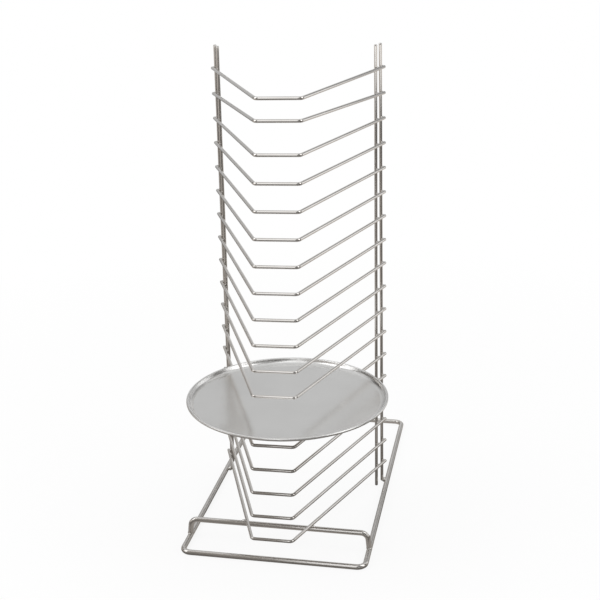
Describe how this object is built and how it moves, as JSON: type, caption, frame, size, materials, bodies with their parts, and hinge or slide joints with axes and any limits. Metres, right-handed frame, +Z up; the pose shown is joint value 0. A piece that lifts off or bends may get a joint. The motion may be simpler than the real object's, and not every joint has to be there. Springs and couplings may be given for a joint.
{
  "type": "pizza tray rack",
  "caption": "Free-standing welded wire rack: open V-shaped wire shelves stacked on two pairs of uprights over a floor loop, with one loose round tray.",
  "frame": {"origin": "on the floor, under the middle of the base loop", "axes": "+Z up, -Y to the front where trays go in, +X to the right seen from the front"},
  "size_m": [0.3048, 0.5841, 0.7212],
  "materials": {
    "plated_wire": "bright plated round wire",
    "weld_metal": "plated over the weld, a little dull",
    "tray_sheet": "satin sheet with a bright rolled rim"
  },
  "bodies": {
    "rack": {"base_loop": "plated_wire", "front_riser": "plated_wire", "upright_inner_right": "plated_wire", "upright_outer_right": "plated_wire", "upright_inner_left": "plated_wire", "upright_outer_left": "plated_wire", "shelf_01": "plated_wire", "shelf_02": "plated_wire", "shelf_03": "plated_wire", "shelf_04": "plated_wire", "shelf_05": "plated_wire", "shelf_06": "plated_wire", "shelf_07": "plated_wire", "shelf_08": "plated_wire", "shelf_09": "plated_wire", "shelf_10": "plated_wire", "shelf_11": "plated_wire", "shelf_12": "plated_wire", "shelf_13": "plated_wire", "shelf_14": "plated_wire", "shelf_15": "plated_wire", "shelf_16": "plated_wire", "shelf_17": "plated_wire", "shelf_18": "plated_wire", "upright_foot_welds": "weld_metal", "riser_foot_welds": "weld_metal", "riser_bar_welds": "weld_metal"},
    "tray": {"tray": "tray_sheet"}
  },
  "joints": [
    {"name": "tray_slide", "type": "slide", "parent": "rack", "child": "tray", "axis": [0.0349, -0.9994, 0], "range_m": [-0.0865, 0.2259]}
  ]
}
